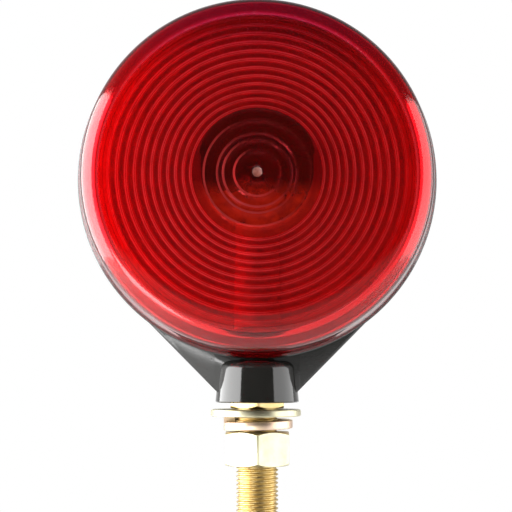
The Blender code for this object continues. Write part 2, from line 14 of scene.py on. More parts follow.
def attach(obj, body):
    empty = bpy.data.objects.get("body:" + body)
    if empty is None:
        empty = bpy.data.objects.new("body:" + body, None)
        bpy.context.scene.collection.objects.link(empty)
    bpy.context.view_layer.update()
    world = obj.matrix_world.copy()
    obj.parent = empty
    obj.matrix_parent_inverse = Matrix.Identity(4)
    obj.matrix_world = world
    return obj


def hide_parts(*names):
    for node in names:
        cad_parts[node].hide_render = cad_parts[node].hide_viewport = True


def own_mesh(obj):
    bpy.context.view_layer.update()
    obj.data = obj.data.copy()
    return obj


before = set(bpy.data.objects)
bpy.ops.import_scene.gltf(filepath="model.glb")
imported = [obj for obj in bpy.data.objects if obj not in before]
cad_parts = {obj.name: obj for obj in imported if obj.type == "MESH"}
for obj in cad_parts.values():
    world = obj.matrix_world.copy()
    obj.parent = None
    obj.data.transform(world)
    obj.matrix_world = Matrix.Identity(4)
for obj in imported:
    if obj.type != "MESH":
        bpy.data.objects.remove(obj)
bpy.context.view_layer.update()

MM = 0.001
SIDES = 224
LENS_SIDES = 320

LAMP_Z = 67.0
RIM_R = 54.0
RIM_FRONT = 6.5
WALL = 2.4
BACK = 23.0
BACK_ROUND = 9.0

FACE_FRONT = 25.0
FACE_R = 46.4
SHOULDER_R = 52.0
SHOULDER_FRONT = 18.7
LENS_WALL = 2.2
INNER_FRONT = FACE_FRONT - 1.4
GATE_R = 1.5
SKIRT_R = 50.6
FLUTE_FIRST_R = 19.4
FLUTE_PITCH = 2.12
FLUTE_GROWTH = 0.03
FLUTES = 11
FLUTE_WAVE = 0.10
BULLSEYE = (6.8, 9.9, 11.7, 15.6)
RING_WIDTH = 0.32

BOSS_R = 12.6
BOSS_TOP_R = 11.7
BOSS_TOP = 12.4
BOSS_ROUND = 2.6
NECK_R = 6.0
NECK_LOW = 14.2
NECK_MEETS = 14.6
NECK_HIGH = 17.4
POST_R = 3.2
POST_BORE = 1.6
POST_TALL = 4.4
POST_X = 14.0
WEB_THICK = 8.0
WEB_FOOT_Z = 3.7
WEB_EDGE = 0.7

SPRING_R = 6.6
SPRING_WIRE = 0.35
SPRING_TURNS = 2.5
SPRING_LOW = 24.55
SPRING_HIGH = 28.5

THREAD_R = 6.35
THREAD_PITCH = 1.27
THREAD_DEPTH = 0.72
BORE_R = 3.8
STUD_END = -44.5
STUD_TOP = 9.0
COLLAR_FLATS = 16.0
COLLAR_DEEP = 3.0
COLLAR_PROUD = 1.8
GAP = 0.3

WASHER_R = 13.6
WASHER_BORE = 7.1
WASHER_SHIFT = -0.4
WASHER_THICK = 2.1
LOCK_R = 10.4
LOCK_BORE = 7.0
LOCK_SHIFT = 0.3
LOCK_THICK = 2.5
LOCK_RISE = 1.5
NUT_FLATS = 19.05
NUT_TALL = 10.2
NUT_BORE = THREAD_R + 0.35

FILAMENT_Z = LAMP_Z + 2.0
GLOBE_R = 13.2
BULB_BASE_R = 7.6
BASE_BOTTOM = 31.0
BASE_TOP = 49.0
SHELF_Z = 33.0

HOLE_R = 17.5
HOLE_RISE = 2.5
HOOD_R = 6.9
HOOD_WALL = 1.2
HOOD_FRONT = 10.4
HOOD_BOTTOM = 22.6
HOOD_TOP = 56.0
REFLECTOR_R = 48.7
LEDGE_R = 48.2

# Studio, in metres and watts.
FLOOR_R = 1.6
FLOOR_Z = -0.2
LIGHT_TARGET = (0.0, 0.0, 0.06)
SOFTBOXES = {
    "softbox_left": ((-0.60, -0.03, 0.06), (1.00, 0.80), 19.5),
    "softbox_right": ((0.60, -0.06, 0.04), (0.90, 0.80), 6.5),
    "softbox_low": ((-0.28, -0.55, -0.15), (0.30, 0.15), 1.2),
}
CAMERA_PLACE = (-0.00036, -0.500, 0.0119)
CAMERA_TILT = 3.7
CAMERA_LENS = 116.0

ACRYLIC_IOR = 1.49
RED_INSIDE = (0.70, 0.012, 0.018)
# Painted light inside the lens face: pale and pink painted highlights on the flute crests, painted shade on
# their slopes and low on the right.
CREST_PAINTED_HIGHLIGHT = (1.0, 0.80, 0.92)
CREST_PAINTED_PINK_HIGHLIGHT = (1.0, 0.62, 0.68)
RING_PAINTED_SHADE = (0.18, 0.003, 0.005)
RING_RED = (0.60, 0.012, 0.018)
LOW_RIGHT_PAINTED_SHADE = (0.30, 0.018, 0.012)
STREAK_RED = (0.34, 0.022, 0.012)


# ---------------------------------------------------------------- mesh helpers

def finish_mesh(name, mesh, look, body, stands_for, crease=32.0):
    """Turn a millimetre bmesh into a piece that rides on body and stands for CAD nodes.

    Edges sharper than crease degrees stay sharp in the shading.
    """
    bmesh.ops.remove_doubles(mesh, verts=mesh.verts, dist=1e-5)
    bmesh.ops.recalc_face_normals(mesh, faces=mesh.faces)
    bmesh.ops.scale(mesh, verts=mesh.verts, vec=(MM, MM, MM))
    data = bpy.data.meshes.new(name)
    mesh.to_mesh(data)
    mesh.free()
    data.shade_smooth()
    data.set_sharp_from_angle(angle=math.radians(crease))
    data.materials.append(look)
    item = bpy.data.objects.new(name, data)
    bpy.context.scene.collection.objects.link(item)
    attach(item, body)
    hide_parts(*stands_for)
    return item


def turned(profile, sides=SIDES):
    """Close a profile of (radius, height) points round Z. A radius may be a function of angle."""
    mesh = bmesh.new()
    rings = []
    for radius, height in profile:
        if not callable(radius) and radius < 1e-6:
            rings.append([mesh.verts.new((0.0, 0.0, height))])
            continue
        ring = []
        for i in range(sides):
            angle = 2 * math.pi * i / sides
            reach = radius(angle) if callable(radius) else radius
            ring.append(mesh.verts.new((reach * math.cos(angle), reach * math.sin(angle), height)))
        rings.append(ring)
    for low, high in zip(rings, rings[1:] + rings[:1]):
        for i in range(sides):
            j = (i + 1) % sides
            corners = [low[i % len(low)], low[j % len(low)], high[j % len(high)], high[i % len(high)]]
            corners = list(dict.fromkeys(corners))
            if len(corners) > 2:
                mesh.faces.new(corners)
    return mesh


def arc(centre, radius, first, last, steps):
    """Points on an arc of (radius, height), with angles in degrees."""
    points = []
    for i in range(steps + 1):
        angle = math.radians(first + (last - first) * i / steps)
        points.append((centre[0] + radius * math.cos(angle), centre[1] + radius * math.sin(angle)))
    return points


def prism(outline, low, high):
    """Extrude an (x, y) outline from z = low to z = high."""
    mesh = bmesh.new()
    bottom = [mesh.verts.new((x, y, low)) for x, y in outline]
    top = [mesh.verts.new((x, y, high)) for x, y in outline]
    mesh.faces.new(list(reversed(bottom)))
    mesh.faces.new(top)
    for i in range(len(outline)):
        j = (i + 1) % len(outline)
        mesh.faces.new([bottom[i], bottom[j], top[j], top[i]])
    return mesh


def swept(sections):
    """Closed skin through a row of sections, each a list of (x, y, z) points, with flat ends."""
    mesh = bmesh.new()
    rings = [[mesh.verts.new(point) for point in section] for section in sections]
    for first, second in zip(rings, rings[1:]):
        for k in range(len(first)):
            j = (k + 1) % len(first)
            mesh.faces.new([first[k], first[j], second[j], second[k]])
    mesh.faces.new(rings[0])
    mesh.faces.new(list(reversed(rings[-1])))
    return mesh


def upright(mesh):
    """Stand a shape modelled round Z on the lens's axis: its +Z becomes -Y at the lamp's height."""
    bmesh.ops.rotate(mesh, verts=mesh.verts, matrix=Matrix.Rotation(math.radians(90), 3, "X"))
    bmesh.ops.translate(mesh, verts=mesh.verts, vec=(0.0, 0.0, LAMP_Z))
    return mesh


def moved(mesh, x=0.0, y=0.0, z=0.0):
    bmesh.ops.translate(mesh, verts=mesh.verts, vec=(x, y, z))
    return mesh


def joined(*meshes):
    """Copy several closed shells into the first one."""
    whole = meshes[0]
    for other in meshes[1:]:
        data = bpy.data.meshes.new("part")
        other.to_mesh(data)
        other.free()
        whole.from_mesh(data)
        bpy.data.meshes.remove(data)
    return whole


def hex_radius(flats, soft=0.0, width=0.05):
    """Radius of a hexagon with a corner towards -Y, its corners rounded off by soft."""
    def reach(angle):
        turn = (angle + math.pi / 6) % (math.pi / 3) - math.pi / 6
        turn = abs(turn)
        corner_turn = math.pi / 6 - turn
        sharp = flats / 2 / math.cos(turn)
        return sharp - soft * math.exp(-((corner_turn / width) ** 2))
    return reach


def least(first, second):
    """Radius that stays inside both a function of angle and a plain limit."""
    return lambda angle: min(first(angle), second)


def flute_radius(number):
    return FLUTE_FIRST_R + FLUTE_PITCH * number + FLUTE_GROWTH * number * number


# ---------------------------------------------------------------- materials

class Look:
    """A Principled material whose colour and roughness vary with procedural noise."""

    def __init__(self, name, roughness, metallic=0.0):
        self.material = bpy.data.materials.new(name)
        self.material.use_nodes = True
        self.nodes = self.material.node_tree.nodes
        self.links = self.material.node_tree.links
        self.shader = self.nodes["Principled BSDF"]
        self.shader.inputs["Roughness"].default_value = roughness
        self.shader.inputs["Metallic"].default_value = metallic
        self.place = self.nodes.new("ShaderNodeTexCoord").outputs["Object"]

    def noise(self, scale, detail=3.0, stretch=(1.0, 1.0, 1.0)):
        mapping = self.nodes.new("ShaderNodeMapping")
        mapping.inputs["Scale"].default_value = stretch
        self.links.new(self.place, mapping.inputs["Vector"])
        texture = self.nodes.new("ShaderNodeTexNoise")
        texture.inputs["Scale"].default_value = scale
        texture.inputs["Detail"].default_value = detail
        self.links.new(mapping.outputs["Vector"], texture.inputs["Vector"])
        return texture.outputs["Fac"]

    def ramp(self, factor, stops):
        """Colour ramp from (position, colour) stops."""
        node = self.nodes.new("ShaderNodeValToRGB")
        elements = node.color_ramp.elements
        while len(elements) < len(stops):
            elements.new(0.5)
        for element, (position, colour) in zip(elements, stops):
            element.position = position
            element.color = (*colour, 1.0)
        self.links.new(factor, node.inputs["Fac"])
        return node.outputs["Color"]

    def spread(self, factor, low, high, source=(0.3, 0.7)):
        node = self.nodes.new("ShaderNodeMapRange")
        node.inputs["From Min"].default_value = source[0]
        node.inputs["From Max"].default_value = source[1]
        node.inputs["To Min"].default_value = low
        node.inputs["To Max"].default_value = high
        self.links.new(factor, node.inputs["Value"])
        return node.outputs["Result"]

    def mix(self, factor, first, second):
        node = self.nodes.new("ShaderNodeMix")
        node.data_type = "RGBA"
        self.links.new(factor, node.inputs[0])
        for socket, value in ((node.inputs[6], first), (node.inputs[7], second)):
            if isinstance(value, tuple):
                socket.default_value = (*value, 1.0)
            else:
                self.links.new(value, socket)
        return node.outputs[2]

    def vector(self, operation, first, second=(0.0, 0.0, 0.0)):
        """Vector maths of an output with a fixed vector. LENGTH gives a plain value."""
        node = self.nodes.new("ShaderNodeVectorMath")
        node.operation = operation
        node.inputs[1].default_value = second
        self.links.new(first, node.inputs[0])
        return node.outputs["Value" if operation == "LENGTH" else "Vector"]

    def split(self, vector):
        """The X, Y and Z outputs of a vector."""
        node = self.nodes.new("ShaderNodeSeparateXYZ")
        self.links.new(vector, node.inputs[0])
        return node.outputs["X"], node.outputs["Y"], node.outputs["Z"]

    def maths(self, operation, first, second=0.0):
        node = self.nodes.new("ShaderNodeMath")
        node.operation = operation
        for socket, value in ((node.inputs[0], first), (node.inputs[1], second)):
            if isinstance(value, (int, float)):
                socket.default_value = value
            else:
                self.links.new(value, socket)
        return node.outputs[0]

    def feed(self, socket, output):
        self.links.new(output, self.shader.inputs[socket])

    def bump(self, height, distance, strength=1.0):
        node = self.nodes.new("ShaderNodeBump")
        node.inputs["Strength"].default_value = strength
        node.inputs["Distance"].default_value = distance * MM
        self.links.new(height, node.inputs["Height"])
        self.feed("Normal", node.outputs["Normal"])


def plain(name, dark, light, rough_low, rough_high, metallic=0.0,
          scale=160.0, stretch=(1.0, 1.0, 1.0), grain=0.0):
    """Material that drifts between two colours and two roughnesses."""
    look = Look(name, rough_low, metallic)
    broad = look.noise(scale, 4.0, stretch)
    look.feed("Base Color", look.ramp(broad, [(0.3, dark), (0.7, light)]))
    fine = look.noise(scale * 7.0, 2.0, stretch)
    look.feed("Roughness", look.spread(fine, rough_low, rough_high))
    if grain:
        look.bump(look.noise(2600.0, 2.0), grain)
    return look


def red_acrylic(name, clear, ringed):
    """Red acrylic with a painted reflection, crimson along its top, and pale specks there. The ringed look
    follows the inner flutes, with painted highlights and shade.
    """
    look = Look(name, 0.03)
    cloud = look.noise(55.0, 3.0)
    _, depth, height = look.split(look.place)
    # Painted reflection: the band along the top is tinted crimson, and the specks are limited to it.
    high = look.spread(height, 0.0, 1.0, (0.098, 0.119))
    if ringed:
        outside = look.ramp(cloud, [(0.3, (0.96, 0.080, 0.090)), (0.7, (1.0, 0.100, 0.110))])
        painted_top_reflection = look.mix(high, outside, (0.72, 0.070, 0.18))
        inside = look.maths("GREATER_THAN", depth, -INNER_FRONT * MM)
        # The inner surface carries the painted highlights and painted shade of the flutes.
        body = look.mix(inside, painted_top_reflection, painted_flute_light(look))
    else:
        outside = look.ramp(cloud, [(0.3, (0.60, 0.004, 0.008)), (0.7, (0.70, 0.007, 0.011))])
        # Painted reflection: darker crimson along the top of the edge.
        body = look.mix(high, outside, (0.46, 0.003, 0.030))
    specks = look.spread(look.noise(2400.0, 1.0), 0.0, 0.8, (0.64, 0.70))
    shown = look.maths("MULTIPLY", specks, high)
    look.feed("Base Color", look.mix(shown, body, (0.9, 0.25, 0.32)))
    least_rough, most_rough = (0.0, 0.03) if ringed else (0.06, 0.12)
    look.feed("Roughness", look.spread(look.noise(900.0, 2.0), least_rough, most_rough))
    look.shader.inputs["Transmission Weight"].default_value = clear
    look.shader.inputs["IOR"].default_value = ACRYLIC_IOR
    return look.material


def painted_flute_light(look):
    """Painted highlights on the crests and painted shade on the slopes inside the face, one cycle to each
    flute, with painted shade deepest low on the right.
    """
    centred = look.vector("SUBTRACT", look.place, (0.0, 0.0, LAMP_Z * MM))
    radius = look.vector("LENGTH", look.vector("MULTIPLY", centred, (1 / MM, 0.0, 1 / MM)))
    scaled = look.maths("MULTIPLY", look.maths("SUBTRACT", radius, FLUTE_FIRST_R), 4 * FLUTE_GROWTH)
    root = look.maths("SQRT", look.maths("ADD", scaled, FLUTE_PITCH ** 2))
    number = look.maths("DIVIDE", look.maths("SUBTRACT", root, FLUTE_PITCH), 2 * FLUTE_GROWTH)
    phase = look.maths("FRACT", number)
    # Painted highlights at the crests, painted shade on the slopes.
    ring_highlights_and_shade = look.ramp(phase, [(0.0, RING_RED), (0.03, CREST_PAINTED_HIGHLIGHT), (0.17, CREST_PAINTED_HIGHLIGHT), (0.20, RING_RED),
                              (0.30, RING_PAINTED_SHADE), (0.66, RING_PAINTED_SHADE), (0.74, RING_RED), (0.84, RING_RED),
                              (0.86, CREST_PAINTED_PINK_HIGHLIGHT), (0.94, CREST_PAINTED_PINK_HIGHLIGHT), (0.96, RING_RED), (1.0, RING_RED)])
    last_ring_highlights_and_shade = look.ramp(phase, [(0.0, CREST_PAINTED_HIGHLIGHT), (0.12, RING_RED), (0.42, RING_RED), (0.5, RING_PAINTED_SHADE),
                                 (0.58, RING_RED), (0.85, RING_RED), (0.93, CREST_PAINTED_HIGHLIGHT), (1.0, CREST_PAINTED_HIGHLIGHT)])
    last = look.maths("GREATER_THAN", number, FLUTES - 1.0)
    painted_ring_light = look.mix(last, ring_highlights_and_shade, last_ring_highlights_and_shade)
    fluted = look.maths("GREATER_THAN", radius, FLUTE_FIRST_R - 0.3)
    before_edge = look.maths("LESS_THAN", radius, flute_radius(FLUTES) + 0.5)
    where = look.maths("MULTIPLY", fluted, before_edge)
    red = look.mix(where, RED_INSIDE, painted_ring_light)
    across, _, up = look.split(centred)
    # Painted shade: a brown-red darkening low on the right of the face.
    lean = look.maths("SUBTRACT", look.maths("MULTIPLY", across, 0.55), look.maths("MULTIPLY", up, 0.83))
    low_right_shade = look.spread(lean, 0.0, 0.42, (0.012, 0.042))
    shaded = look.mix(low_right_shade, red, LOW_RIGHT_PAINTED_SHADE)
    streak = look.spread(look.noise(130.0, 4.0), 0.0, 0.34, (0.48, 0.66))
    return look.mix(streak, shaded, STREAK_RED)


def bullseye_painted_light():
    """Inside of the lens's plain middle, with painted light: painted shade above, a painted orange glow
    below, and painted highlight rings low on the left.
    """
    look = Look("red_acrylic_bullseye", 0.03)
    across, _, up = look.split(look.vector("SUBTRACT", look.place, (0.0, -FACE_FRONT * MM, LAMP_Z * MM)))
    square = look.maths("ADD", look.maths("MULTIPLY", across, across), look.maths("MULTIPLY", up, up))
    radius = look.maths("SQRT", square)
    # Painted light: dark painted shade above, a mottled painted orange glow below.
    painted_glow_below = look.spread(up, 0.0, 1.0, (-0.002, -0.008))
    mottle = look.maths("MULTIPLY", painted_glow_below, look.spread(look.noise(420.0, 3.0), 0.55, 1.0, (0.35, 0.65)))
    fade = look.spread(radius, 1.0, 0.25, ((BULLSEYE[-1] - 1.0) * MM, (BULLSEYE[-1] + 1.5) * MM))
    lit = look.maths("MULTIPLY", mottle, fade)
    painted_shade_and_glow = look.mix(lit, (0.16, 0.002, 0.004), (1.0, 0.26, 0.050))
    rings = None
    # Painted highlights: pale rings, strongest low on the left.
    for ring in BULLSEYE:
        mark = look.maths("COMPARE", radius, ring * MM)
        mark.node.inputs[2].default_value = RING_WIDTH * MM
        rings = mark if rings is None else look.maths("ADD", rings, mark)
    lean = look.maths("ADD", look.maths("MULTIPLY", across, -0.85), look.maths("MULTIPLY", up, -0.55))
    side = look.spread(look.maths("DIVIDE", lean, radius), 0.10, 1.0, (-0.3, 0.7))
    shown = look.maths("MULTIPLY", rings, side)
    look.feed("Base Color", look.mix(shown, painted_shade_and_glow, (1.0, 0.75, 0.65)))
    look.feed("Roughness", look.spread(look.noise(900.0, 2.0), 0.015, 0.05))
    look.shader.inputs["Transmission Weight"].default_value = 0.60
    look.shader.inputs["IOR"].default_value = ACRYLIC_IOR
    return look.material


def black_plastic():
    """Black moulding with a fine pebble grain that fades on the round boss."""
    look = Look("black_moulding", 0.3)
    cloud = look.noise(90.0, 4.0)
    look.feed("Base Color", look.ramp(cloud, [(0.3, (0.008, 0.008, 0.007)), (0.7, (0.014, 0.0135, 0.012))]))
    across, depth, height = look.split(look.place)
    away = look.maths("MAXIMUM", look.maths("ABSOLUTE", across), look.maths("ABSOLUTE", depth))
    near = look.maths("LESS_THAN", away, (BOSS_R + 0.2) * MM)
    smooth = look.maths("MULTIPLY", near, look.maths("LESS_THAN", height, (BOSS_TOP + 3.0) * MM))
    grained = look.maths("SUBTRACT", 1.0, look.maths("MULTIPLY", smooth, 0.6))
    rough = look.spread(look.noise(1500.0, 2.0), 0.16, 0.28)
    look.feed("Roughness", look.maths("MULTIPLY", rough, grained))
    look.bump(look.maths("MULTIPLY", look.noise(2400.0, 2.0), grained), 0.03, 0.6)
    look.shader.inputs["IOR"].default_value = 1.57
    return look.material


def zinc(name, dark, light, tint):
    """Yellow zinc plate: gold with drifting pink and green interference tints."""
    look = Look(name, 0.2, 1.0)
    gold = look.ramp(look.noise(240.0, 4.0), [(0.3, dark), (0.7, light)])
    drift = look.spread(look.noise(120.0, 2.0), 0.0, 0.55, (0.5, 0.68))
    look.feed("Base Color", look.mix(drift, gold, tint))
    look.feed("Roughness", look.spread(look.noise(1400.0, 3.0, (1.0, 1.0, 4.0)), 0.28, 0.42))
    look.bump(look.noise(1500.0, 2.0), 0.003, 0.5)
    return look.material


def clear_glass():
    """Clear bulb glass."""
    look = Look("bulb_glass", 0.01)
    cloud = look.noise(120.0)
    look.feed("Base Color", look.ramp(cloud, [(0.3, (0.93, 0.95, 0.95)), (0.7, (0.98, 0.99, 0.99))]))
    look.feed("Roughness", look.spread(look.noise(700.0), 0.0, 0.02))
    look.shader.inputs["Transmission Weight"].default_value = 1.0
    look.shader.inputs["IOR"].default_value = 1.5
    return look.material


lens_face_red = red_acrylic("red_acrylic_face", 1.0, True)
lens_edge_red = red_acrylic("red_acrylic_edge", 0.95, False)
lens_middle_red = bullseye_painted_light()
lens_gate = plain("red_acrylic_gate", (0.15, 0.030, 0.020), (0.26, 0.080, 0.055), 0.4, 0.6,
                  scale=1400.0).material
moulding = black_plastic()
gold_zinc = zinc("yellow_zinc", (0.49, 0.36, 0.15), (0.66, 0.53, 0.27), (0.60, 0.41, 0.22))
pale_zinc = zinc("yellow_zinc_pale", (0.47, 0.435, 0.28), (0.61, 0.575, 0.41), (0.51, 0.53, 0.30))
pink_zinc = zinc("yellow_zinc_pink", (0.54, 0.37, 0.25), (0.71, 0.54, 0.42), (0.60, 0.49, 0.24))
white_dish = plain("white_dish", (0.82, 0.81, 0.78), (0.92, 0.91, 0.88), 0.3, 0.45, grain=0.01).material
foam = plain("foam", (0.045, 0.045, 0.045), (0.075, 0.075, 0.075), 0.85, 0.95, grain=0.08).material
steel = plain("clear_zinc", (0.50, 0.51, 0.53), (0.68, 0.69, 0.71), 0.22, 0.42, 1.0).material
brass = plain("brass", (0.62, 0.44, 0.16), (0.80, 0.61, 0.27), 0.18, 0.36, 1.0).material
phenolic = plain("phenolic", (0.10, 0.042, 0.018), (0.20, 0.09, 0.035), 0.5, 0.7,
                 stretch=(1.0, 3.0, 1.0)).material
solder = plain("solder", (0.42, 0.43, 0.45), (0.60, 0.61, 0.63), 0.25, 0.5, 1.0).material
vitrite = plain("vitrite", (0.012, 0.012, 0.018), (0.03, 0.03, 0.04), 0.08, 0.2).material
tungsten = plain("tungsten", (0.16, 0.16, 0.18), (0.30, 0.30, 0.32), 0.3, 0.5, 1.0).material
rubber = plain("rubber", (0.014, 0.014, 0.014), (0.028, 0.028, 0.028), 0.6, 0.8, grain=0.03).material
glass = clear_glass()


# ---------------------------------------------------------------- lamp body

def housing():
    """Dished shell with its web, boss, neck and inner screw posts."""
    inner = RIM_R - WALL
    round_centre = (RIM_R - 12.0, -BACK + BACK_ROUND)
    profile = [(0.0, -BACK)]
    profile += arc(round_centre, BACK_ROUND, -90, 0, 16)
    profile += [(RIM_R - 2.4, -1.9), (RIM_R - 1.5, -1.1), (RIM_R - 0.5, -0.6), (RIM_R, 0.0)]
    profile += [(RIM_R, RIM_FRONT - 0.4), (RIM_R - 0.4, RIM_FRONT), (inner, RIM_FRONT)]
    profile += [(inner, 1.6), (LEDGE_R, 1.6), (LEDGE_R, 0.0), (inner - 0.8, -0.8)]
    profile += arc(round_centre, BACK_ROUND - WALL, 0, -90, 12)
    profile += [(0.0, -BACK + WALL)]
    shell = upright(turned(profile))
    reach = math.hypot(BOSS_R, LAMP_Z - WEB_FOOT_Z)
    lean = math.atan2(BOSS_R, LAMP_Z - WEB_FOOT_Z)
    side_r = RIM_R - 0.5
    touch = math.acos(side_r / reach) + lean
    top_r = RIM_R - 2.5
    outline = [(-BOSS_R + 1.0, WEB_FOOT_Z - 1.0), (BOSS_R - 1.0, WEB_FOOT_Z - 1.0), (BOSS_R, WEB_FOOT_Z)]
    outline.append((side_r * math.sin(touch), LAMP_Z - side_r * math.cos(touch)))
    steps = 40
    for i in range(steps + 1):
        angle = touch * (1 - 2 * i / steps)
        outline.append((top_r * math.sin(angle), LAMP_Z - top_r * math.cos(angle)))
    outline.append((-side_r * math.sin(touch), LAMP_Z - side_r * math.cos(touch)))
    outline.append((-BOSS_R, WEB_FOOT_Z))
    web = prism(outline, -WEB_THICK / 2, WEB_THICK / 2)
    long_edges = [e for e in web.edges if abs(e.verts[0].co.z - e.verts[1].co.z) < 1e-6]
    bmesh.ops.bevel(web, geom=long_edges, offset=WEB_EDGE, segments=4, profile=0.5, affect="EDGES")
    bmesh.ops.rotate(web, verts=web.verts, matrix=Matrix.Rotation(math.radians(90), 3, "X"))
    pocket = hex_radius(COLLAR_FLATS + 2 * GAP)
    hole = THREAD_R + GAP
    passage = NECK_R - 0.9
    boss_profile = [(pocket, 0.0), (BOSS_R - 0.3, 0.0), (BOSS_R, 0.3)]
    boss_profile += arc((BOSS_TOP_R - BOSS_ROUND, BOSS_TOP - BOSS_ROUND), BOSS_ROUND, 0, 90, 14)
    boss_profile += arc((NECK_R + 1.6, BOSS_TOP + 1.6), 1.6, -90, -180, 8)
    boss_profile += [(NECK_R, NECK_MEETS), (passage, NECK_MEETS)]
    boss_profile += [(passage, STUD_TOP + GAP), (hole, STUD_TOP + GAP)]
    boss_profile += [(hole, COLLAR_DEEP + GAP), (pocket, COLLAR_DEEP + GAP)]
    boss = turned(boss_profile)
    posts = []
    for side in (-1, 1):
        post = turned([(POST_BORE, -BACK + 1.0), (POST_R, -BACK + 1.0), (POST_R, -BACK + POST_TALL - 0.3),
                       (POST_R - 0.3, -BACK + POST_TALL), (POST_BORE, -BACK + POST_TALL)], 40)
        posts.append(moved(upright(post), x=side * POST_X, z=SHELF_Z + 6.0 - LAMP_Z))
    behind_rim = arc((0.0, 0.0), NECK_R, 0, 180, 24)
    neck = prism([(x, max(y, 0.2)) for x, y in behind_rim], NECK_LOW, NECK_HIGH)
    whole = joined(shell, web, boss, neck, *posts)
    return finish_mesh("black_housing", whole, moulding, "lamp_body", ["housing"], 40)


def flute(start, end, inside, depth):
    """Inner profile of one flute, from its outer radius in: a soft wave with a narrow rounded crest."""
    points = []
    steps = 8
    for i in range(steps):
        share = i / steps
        swell = (0.5 - 0.5 * math.cos(2 * math.pi * share)) ** 0.7
        points.append((end + (start - end) * share, inside - depth * swell))
    return points


def lens():
    """Red cap: smooth face, inner flutes, round shoulder, lip and skirt."""
    skirt_in = SKIRT_R - 1.6
    flange = RIM_FRONT + GAP
    dimple = FACE_FRONT - 0.35
    profile = [(0.0, dimple), (GATE_R - 0.5, dimple), (GATE_R - 0.1, FACE_FRONT - 0.04)]
    dome_steps = 14
    for i in range(dome_steps + 1):
        reach = GATE_R + (FACE_R - 0.8 - GATE_R) * (i / dome_steps) ** 1.5
        profile.append((reach, FACE_FRONT - 0.45 * (reach / FACE_R) ** 2))
    shoulder_steps = 12
    for i in range(shoulder_steps + 1):
        turn = math.radians(90 * i / shoulder_steps)
        profile.append((FACE_R - 0.4 + (SHOULDER_R - FACE_R + 0.4) * math.sin(turn),
                        SHOULDER_FRONT + (FACE_FRONT - 0.5 - SHOULDER_FRONT) * math.cos(turn)))
    profile += [(RIM_R - 1.0, flange + 2.1), (RIM_R - 0.8, flange + 1.7), (RIM_R - 0.4, flange + 1.5)]
    profile += [(RIM_R - 0.3, flange + 1.3), (RIM_R - 0.3, flange + 0.2), (RIM_R - 0.5, flange)]
    profile += [(SKIRT_R, flange), (SKIRT_R, 2.4), (skirt_in, 2.4), (skirt_in, flange)]
    inner = SHOULDER_R - LENS_WALL
    inside = FACE_FRONT - LENS_WALL
    profile += [(inner, SHOULDER_FRONT - 1.0), (inner - 0.5, SHOULDER_FRONT + 0.6)]
    profile += [(inner - 2.0, inside - 2.4), (flute_radius(FLUTES) + 0.8, inside - 1.4)]
    for number in range(FLUTES - 1, -1, -1):
        profile += flute(flute_radius(number), flute_radius(number + 1), inside, FLUTE_WAVE)
    marks = [FLUTE_FIRST_R] + sorted(BULLSEYE, reverse=True) + [2.2]
    for outer, nearer in zip(marks, marks[1:]):
        profile += flute(nearer, outer, inside, 0.2)
    profile += [(2.2, inside), (1.2, inside - 0.5), (0.0, inside - 0.7)]
    cap = finish_mesh("red_lens_cap", upright(turned(profile, LENS_SIDES)), lens_face_red, "lens_cap",
                      ["lens"], 40)
    for look in (lens_edge_red, lens_middle_red, lens_gate):
        cap.data.materials.append(look)
    for face in cap.data.polygons:
        centre = face.center
        reach = math.hypot(centre.x, centre.z - LAMP_Z * MM) / MM
        if reach > FACE_R + 0.5:
            face.material_index = 1
        elif reach < FLUTE_FIRST_R - 0.4 and centre.y > -INNER_FRONT * MM:
            face.material_index = 2
        elif reach < GATE_R - 0.3:
            face.material_index = 3
    return cap


def gasket():
    """Foam ring between the lens's skirt and the rim."""
    low, high = 2.0, RIM_FRONT
    inner, outer = SKIRT_R + GAP, RIM_R - WALL - GAP
    profile = [(inner, low), (outer, low), (outer, high - 0.15), (outer - 0.15, high), (inner, high)]
    return finish_mesh("foam_gasket", upright(turned(profile)), foam, "lamp_body", ["lens_gasket"])


def cut_or_join(item, mesh, operation):
    """Apply one Boolean of a millimetre bmesh to a finished piece."""
    bmesh.ops.recalc_face_normals(mesh, faces=mesh.faces)
    bmesh.ops.scale(mesh, verts=mesh.verts, vec=(MM, MM, MM))
    data = bpy.data.meshes.new("tool")
    mesh.to_mesh(data)
    mesh.free()
    tool = bpy.data.objects.new("tool", data)
    bpy.context.scene.collection.objects.link(tool)
    step = item.modifiers.new("tool", "BOOLEAN")
    step.operation = operation
    step.solver = "EXACT"
    step.object = tool
    bpy.context.view_layer.update()
    graph = bpy.context.evaluated_depsgraph_get()
    item.data = bpy.data.meshes.new_from_object(item.evaluated_get(graph))
    item.modifiers.clear()
    item.data.set_sharp_from_angle(angle=math.radians(32))
    bpy.data.objects.remove(tool, do_unlink=True)


def hood():
    """Half-round channel that bulges forward over the socket."""
    outer = []
    inner = []
    steps = 32
    for i in range(steps + 1):
        angle = math.pi * i / steps
        for points, radius in ((outer, HOOD_R), (inner, HOOD_R - HOOD_WALL)):
            points.append((radius * math.cos(angle), -HOOD_FRONT - radius * math.sin(angle)))
    return prism(outer + inner[::-1], HOOD_BOTTOM, HOOD_TOP)


